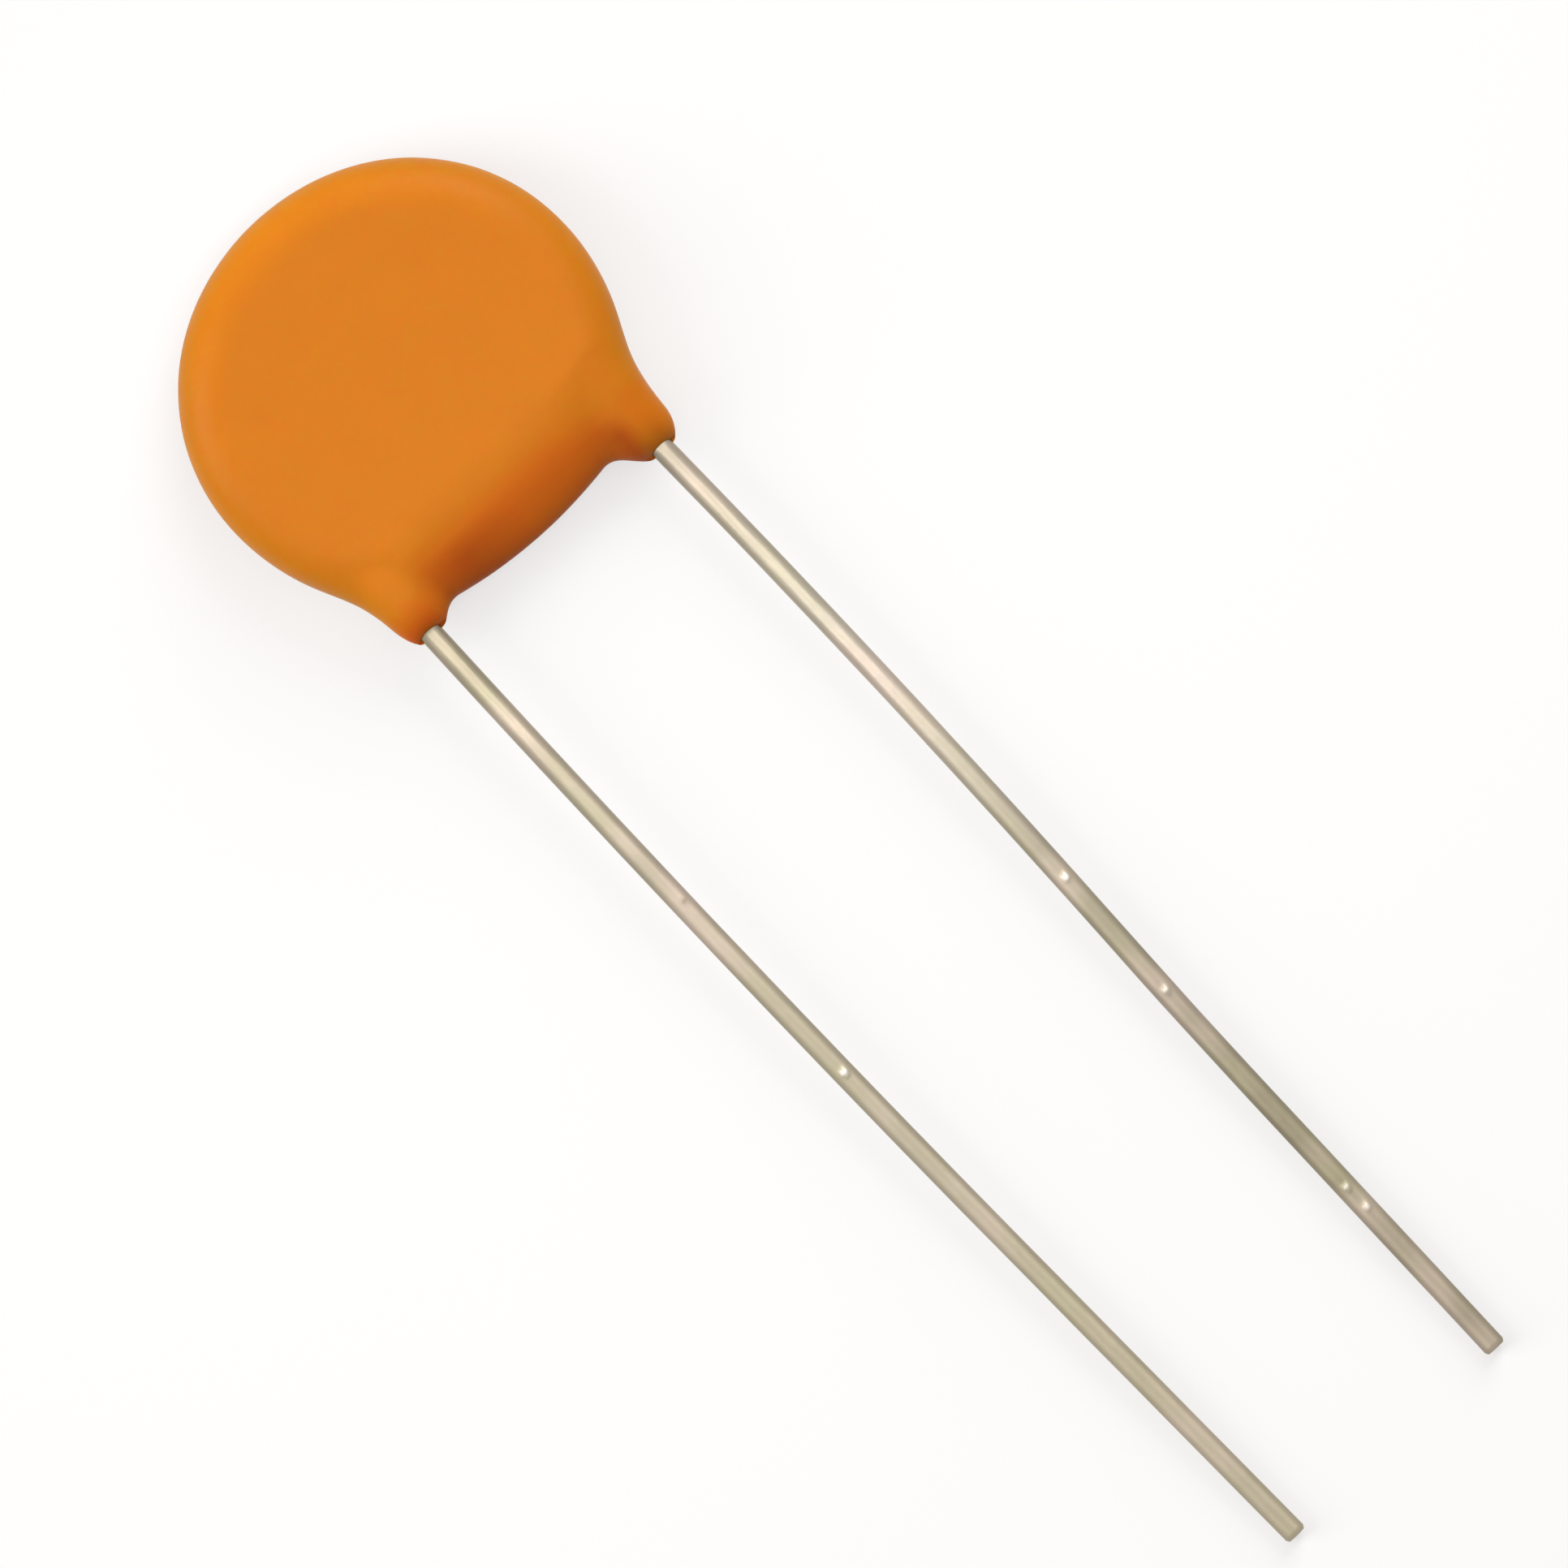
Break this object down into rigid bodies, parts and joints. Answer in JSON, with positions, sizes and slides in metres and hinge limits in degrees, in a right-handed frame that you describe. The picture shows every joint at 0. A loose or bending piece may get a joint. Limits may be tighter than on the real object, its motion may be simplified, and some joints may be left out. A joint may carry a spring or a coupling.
{
  "type": "ceramic disc capacitor",
  "caption": "Round epoxy-dipped ceramic disc capacitor lying flat, its wire leads running parallel out of short legs of coating.",
  "frame": {"origin": "the disc's centre line where it meets the flat rear face, which is the face that it lies on", "axes": "+Z out of the front face, -Y along the leads towards their tips, +X to the right seen from the front"},
  "size_m": [0.0096, 0.0355, 0.0022],
  "materials": {
    "coating": "semi-gloss dipped epoxy",
    "ceramic": "matt fired",
    "silver": "matt fired silver",
    "solder": "bright solder",
    "lead": "tinned wire"
  },
  "bodies": {
    "root": {"epoxy_coating": "coating", "ceramic_disc": "ceramic", "front_electrode": "silver", "rear_electrode": "silver", "front_solder": "solder", "rear_solder": "solder", "front_lead": "lead", "rear_lead": "lead"}
  },
  "joints": []
}
